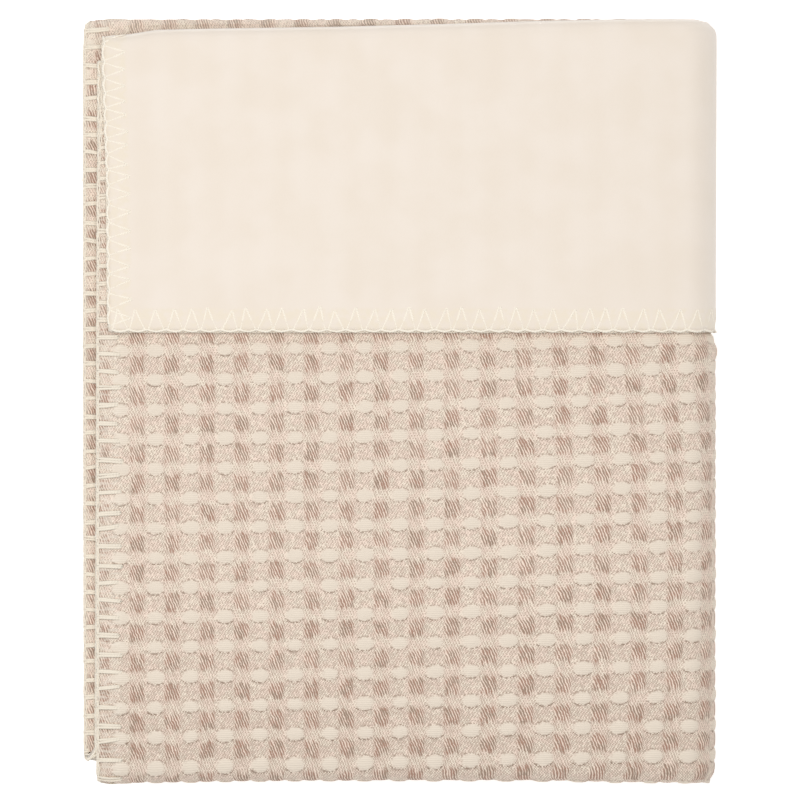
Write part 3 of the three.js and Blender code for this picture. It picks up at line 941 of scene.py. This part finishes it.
def laid_on_edge(edge, along, inset, side, lift):
    """Points of a thread laid beside an edge, and which way is out of the cloth there."""
    length, across = edge_place(edge, along, inset)
    offset = side * CLOTH / 2
    point = blanket_point(length, across, offset, lift)
    through = blanket_point(length, across, CLOTH / 2, lift) - blanket_point(length, across, -CLOTH / 2, lift)
    # Two small steps on the surface give its true direction, which leans where the edge is pinched.
    lengthwise = blanket_point(length + 0.2, across, offset, lift) - point
    crosswise = blanket_point(length, across + 0.002, offset, lift) - point
    out = np.cross(lengthwise, crosswise)
    out *= np.sign(np.einsum("ij,ij->i", out, through) * offset)[:, None]
    return point, out / np.linalg.norm(out, axis=-1, keepdims=True)


def unit(vectors):
    """Vectors made 1 long. One without a length stays 0."""
    return vectors / (np.linalg.norm(vectors, axis=1, keepdims=True) + 1e-9)


def tube(points, outward, wide, tall, section):
    """A closed tube with a given section along a line of points, with a yarn map."""
    tangent = unit(np.gradient(points, axis=0))
    sideways = unit(np.cross(outward, tangent))
    upward = np.cross(tangent, sideways)
    ring = section[0][None, :, None] * sideways[:, None] * wide
    ring = ring + section[1][None, :, None] * upward[:, None] * tall
    vertices = (points[:, None] + ring).reshape(-1, 3)
    n, sides = len(points), section.shape[1]
    ids = np.arange(n * sides).reshape(n, sides)
    after = np.roll(ids, -1, axis=1)
    quads = np.stack([ids[:-1], after[:-1], after[1:], ids[1:]], -1).reshape(-1, 4)
    run = np.concatenate([[0], np.cumsum(np.linalg.norm(np.diff(points, axis=0), axis=1))]) * MM
    places = np.stack([np.tile(np.arange(sides) / sides, n), np.repeat(run, sides)], -1)
    return vertices, quads, [ids[0, ::-1][None], ids[-1][None]], places


def stitch_edge(edge, stitch, bar, chance):
    """The threads of one overlocked edge, which follow each other over all its stitches."""
    total = edge_total(edge)
    count = int(round(total / stitch / STITCH_STRETCH[edge]))
    step = total / count
    k = np.arange(count) + 0.5
    slant = chance.normal(0, SLANT_VARIES, count)
    spread, fan = chance.uniform(*LEGS_APART, count), chance.normal(0, FAN_VARIES, count)
    reach = bar + chance.normal(0, REACH_VARIES, count)
    if edge == "near":
        fold_begins, fold_ends = stretch_ends(STRIP)[1] - FOLD_MARGIN, stretch_ends(LAST)[0] + FOLD_MARGIN
        reach = np.where((k * step > fold_begins) & (k * step < fold_ends), reach * PRESSED_REACH, reach)
    shift = chance.normal(0, SHIFT_VARIES, count) + STITCH_START[edge]
    vertices, quads, caps, places, on_waffle = [], [], [], [], []
    start = 0
    for path, wide, tall, section, on_front in THREADS:
        rows = []
        for in_stitches, apart, share, inset, side, lift, lean in path:
            along = (k + in_stitches) * step + apart * (spread + share * fan) + shift + lean * slant
            inward = share * reach + inset
            rows.append(np.stack([along, inward, np.full(count, side), np.full(count, lift)], -1))
        point, out = laid_on_edge(edge, *np.stack(rows, axis=1).reshape(-1, 4).T)
        wide = wide * chance.normal(1, WIDTH_VARIES, (len(point), 1, 1))
        thread, sides, ends, run = tube(point, out, wide, tall, section)
        vertices.append(thread)
        quads.append(sides + start)
        caps.extend(end + start for end in ends)
        places.append(run)
        on_waffle.append(np.full(len(thread), on_front))
        start += len(thread)
    piece = make_mesh(f"overlock_{edge}", np.concatenate(vertices), [np.concatenate(quads), *caps])
    lay_map(piece, "yarn", np.concatenate(places))
    mark(piece, "on_waffle", np.concatenate(on_waffle))
    return piece


# Settings


def length_setting(name, description, size):
    return bpy.props.FloatProperty(name=name, description=description, unit="LENGTH", default=size * MM)


def colour_setting(name, description, shown):
    return bpy.props.FloatVectorProperty(name=name, description=description, subtype="COLOR", size=3,
                                         min=0, max=1, default=tuple(c / 255 for c in shown))


class BlanketSizes(bpy.types.PropertyGroup):
    cell_width: length_setting("Cell width", "Width of one cell of the waffle weave", 10.64)
    cell_height: length_setting("Cell height", "Height of one cell of the waffle weave", 9.049)
    relief: length_setting("Relief", "Depth of the waffle weave", 0.42)
    stitch: length_setting("Stitch", "Length of one overlock stitch", 5.35)
    stitch_width: length_setting("Stitch width", "Width of the overlock stitch", 7.0)


class BlanketColours(bpy.types.PropertyGroup):
    cream: colour_setting("Cream floats", "The waffle's cream ovals", (232, 219, 203))
    cream_shade: colour_setting("Cream shade", "Between the floats of the cream ovals", (214, 201, 183))
    ground: colour_setting("Ground", "The waffle between its ovals and blocks", (240, 226, 208))
    light: colour_setting("Light warp", "The ground's other light thread", (240, 219, 203))
    dot: colour_setting("Ground dots", "The dark thread of the ground", (195, 174, 157))
    taupe: colour_setting("Taupe", "The dark threads of the blocks", (166, 128, 110))
    # Umber also paints the shadow arcs round the ovals.
    umber: colour_setting("Umber", "The greyer dark threads of the blocks", (151, 128, 110))
    pink: colour_setting("Light threads", "The light threads of the blocks", (240, 219, 202))
    # The fluff colour also paints the highlight on the top fold.
    fluff: colour_setting("Fluff", "The cloth under the overlock's fluff", (238, 227, 212))
    nap: colour_setting("Nap", "The brushed lining", (233, 222, 210))
    nap_shade: colour_setting("Nap shade", "The brushed lining where it is a little darker", (230, 218, 204))
    band: colour_setting("Band", "The lining under the overlock's zigzag", (231, 219, 200))
    yarn: colour_setting("Yarn", "The overlock yarn", (248, 240, 226))
    front_yarn: colour_setting("Front yarn", "The overlock yarn on the waffle side", (234, 223, 206))
    yarn_shade: colour_setting("Yarn shade", "Between the overlock yarn's strands", (237, 227, 210))


def size_table():
    """The sizes that the user has set, in millimetres."""
    sizes = bpy.context.scene.blanket_sizes
    return {name: getattr(sizes, name) / MM for name in BlanketSizes.__annotations__}


def colour_table():
    """The colours that the user has set, as the materials take them."""
    colours = bpy.context.scene.blanket_colours
    return {name: linear(getattr(colours, name)) for name in BlanketColours.__annotations__}


# The pieces


def weave_bands(step):
    """Rows of the waffle face along its length, close together where the weave shows."""
    front_begins, front_ends = stretch_ends(FRONT)
    back_begins, back_ends = stretch_ends(BACK)
    strip_begins, strip_ends = stretch_ends(STRIP)
    shows = front_begins + TOP_TURN - FLAP_EDGE - WEAVE_UNDER_FLAP
    return (
        (rows_between(0, shows, COVERED_STEP), PLAIN_PLACES),
        (rows_between(shows, front_ends, step), FRONT_PLACES),
        (rows_between(front_ends, back_begins, step), FOLD_PLACES),
        (rows_between(back_begins, back_ends, BACK_STEP), PLAIN_PLACES),
        (rows_between(back_ends, strip_begins, TURN_STEP), FOLD_PLACES),
        (rows_between(strip_begins, strip_ends, step), STRIP_PLACES),
        (rows_to_end(strip_ends, LAST_STEP), PLAIN_PLACES),
    )


class BLANKET_OT_waffle(bpy.types.Operator):
    """Models the waffle cloth on its folds, with the weave's relief where it shows"""

    bl_idname = "blanket.waffle"
    bl_label = "Waffle cloth"

    def execute(self, context):
        sizes = size_table()
        cell, depth = (sizes["cell_width"], sizes["cell_height"]), sizes["relief"]

        def relief(length, across):
            if length.shape[1] == len(PLAIN_PLACES):
                return 0.0
            _, y, drawn = cloth_place(length, across)
            deeper = 1 + RELIEF_GAIN * smoothstep(-y, *GAIN_RISES)
            return weave_relief(*weave_place(length, across, cell), cell, depth * drawn**2 * deeper)

        outer = weave_bands(cell[1] / CELL_ROWS)
        inner = [(rows_to_end(0, INNER_STEP), PLAIN_PLACES)]
        piece, flat = closed_sheet("waffle_cloth", outer, inner, CLOTH / 2, CLOTH / 2 - WAFFLE_PLY, relief)
        lay_map(piece, "weave", np.stack(weave_place(*flat.T, cell), -1))
        mark_distance(piece, flat)
        finish_piece(piece, waffle_cotton(colour_table(), cell), "waffle_cotton", "waffle_panel")
        return {"FINISHED"}


class BLANKET_OT_lining(bpy.types.Operator):
    """Models the brushed lining behind the waffle cloth"""

    bl_idname = "blanket.lining"
    bl_label = "Brushed lining"

    def execute(self, context):
        fine_ends = stretch_ends(FRONT)[0] + PAST_FLAP
        outer = [(rows_between(0, fine_ends, FLAP_STEP), LINING_PLACES),
                 (rows_to_end(fine_ends, LINING_STEP), PLAIN_PLACES)]
        inner = [(rows_to_end(0, LINING_STEP), PLAIN_PLACES)]
        piece, flat = closed_sheet("brushed_lining", outer, inner, -CLOTH / 2, LINING_PLY - CLOTH / 2)
        lay_map(piece, "cloth", np.stack(cloth_place(*flat.T)[:2], -1) * MM)
        mark_distance(piece, flat)
        finish_piece(piece, brushed_cotton(colour_table()), "brushed_cotton", "lining_panel")
        return {"FINISHED"}


class BLANKET_OT_overlock(bpy.types.Operator):
    """Sews the overlock stitch over the four edges"""

    bl_idname = "blanket.overlock"
    bl_label = "Overlock stitch"

    def execute(self, context):
        sizes = size_table()
        chance = np.random.default_rng(11)
        yarn = overlock_yarn(colour_table())
        for edge in ("near", "flap", "far", "end"):
            piece = stitch_edge(edge, sizes["stitch"], sizes["stitch_width"], chance)
            finish_piece(piece, yarn, "brushed_cotton")
        return {"FINISHED"}


class BLANKET_OT_stage(bpy.types.Operator):
    """Sets the pale floor, the soft light and the camera straight above"""

    bl_idname = "blanket.stage"
    bl_label = "Floor, light and camera"

    def execute(self, context):
        bpy.ops.object.select_all(action="DESELECT")
        bpy.ops.mesh.primitive_plane_add(size=FLOOR_SIZE, location=(0, 0, FLOOR_LEVEL))
        bpy.ops.object.transform_apply(location=True, rotation=True, scale=True)
        floor = context.object
        floor.name = "floor"
        paint = bpy.data.materials.new("pale_floor")
        paint.use_nodes = True
        white = (1, 1, 1, 1)
        set_inputs(paint.node_tree.nodes["Principled BSDF"], {
            "Base Color": (0.93, 0.93, 0.93, 1), "Roughness": 0.9, "Emission Color": white,
            "Emission Strength": FLOOR_GLOW,
        })
        floor.data.materials.append(paint)
        world = bpy.data.worlds.new("soft_room")
        context.scene.world = world
        world.use_nodes = True
        set_inputs(world.node_tree.nodes["Background"], {"Color": white, "Strength": ROOM_LIGHT})
        bpy.ops.object.light_add(type="AREA", location=LAMP_PLACE, rotation=LAMP_TURN)
        lamp = context.object
        lamp.name = "softbox"
        lamp.data.shape = "SQUARE"
        lamp.data.size = LAMP_SIZE
        lamp.data.energy = LAMP_POWER
        context.scene.view_settings.view_transform = "Standard"
        height = VIEW_WIDTH * LENS / SENSOR + TOP_FACE
        bpy.ops.object.camera_add(location=(*VIEW_MIDDLE, height), rotation=(0, 0, 0))
        camera = context.object
        camera.name = "camera_above"
        camera.data.lens = LENS
        camera.data.sensor_width = SENSOR
        camera.data.clip_start, camera.data.clip_end = 0.1, 20.0
        context.scene.camera = camera
        return {"FINISHED"}


class BLANKET_PT_panel(bpy.types.Panel):
    """Sizes, colours and the steps of the folded blanket"""

    bl_idname = "BLANKET_PT_panel"
    bl_label = "Folded blanket"
    bl_space_type = "VIEW_3D"
    bl_region_type = "UI"
    bl_category = "Blanket"

    def draw(self, context):
        for group in (context.scene.blanket_sizes, context.scene.blanket_colours):
            for name in type(group).__annotations__:
                self.layout.prop(group, name)
        for operator in OPERATORS:
            self.layout.operator(operator.bl_idname)


OPERATORS = (BLANKET_OT_waffle, BLANKET_OT_lining, BLANKET_OT_overlock, BLANKET_OT_stage)
CLASSES = (BlanketSizes, BlanketColours, *OPERATORS, BLANKET_PT_panel)


def register():
    for part in CLASSES:
        bpy.utils.register_class(part)
    bpy.types.Scene.blanket_sizes = bpy.props.PointerProperty(type=BlanketSizes)
    bpy.types.Scene.blanket_colours = bpy.props.PointerProperty(type=BlanketColours)


def unregister():
    del bpy.types.Scene.blanket_colours
    del bpy.types.Scene.blanket_sizes
    for part in reversed(CLASSES):
        bpy.utils.unregister_class(part)


def main():
    register()
    bpy.ops.object.select_all(action="DESELECT")
    bpy.ops.blanket.waffle()
    bpy.ops.blanket.lining()
    bpy.ops.blanket.overlock()
    bpy.ops.blanket.stage()


if __name__ == "__main__":
    main()
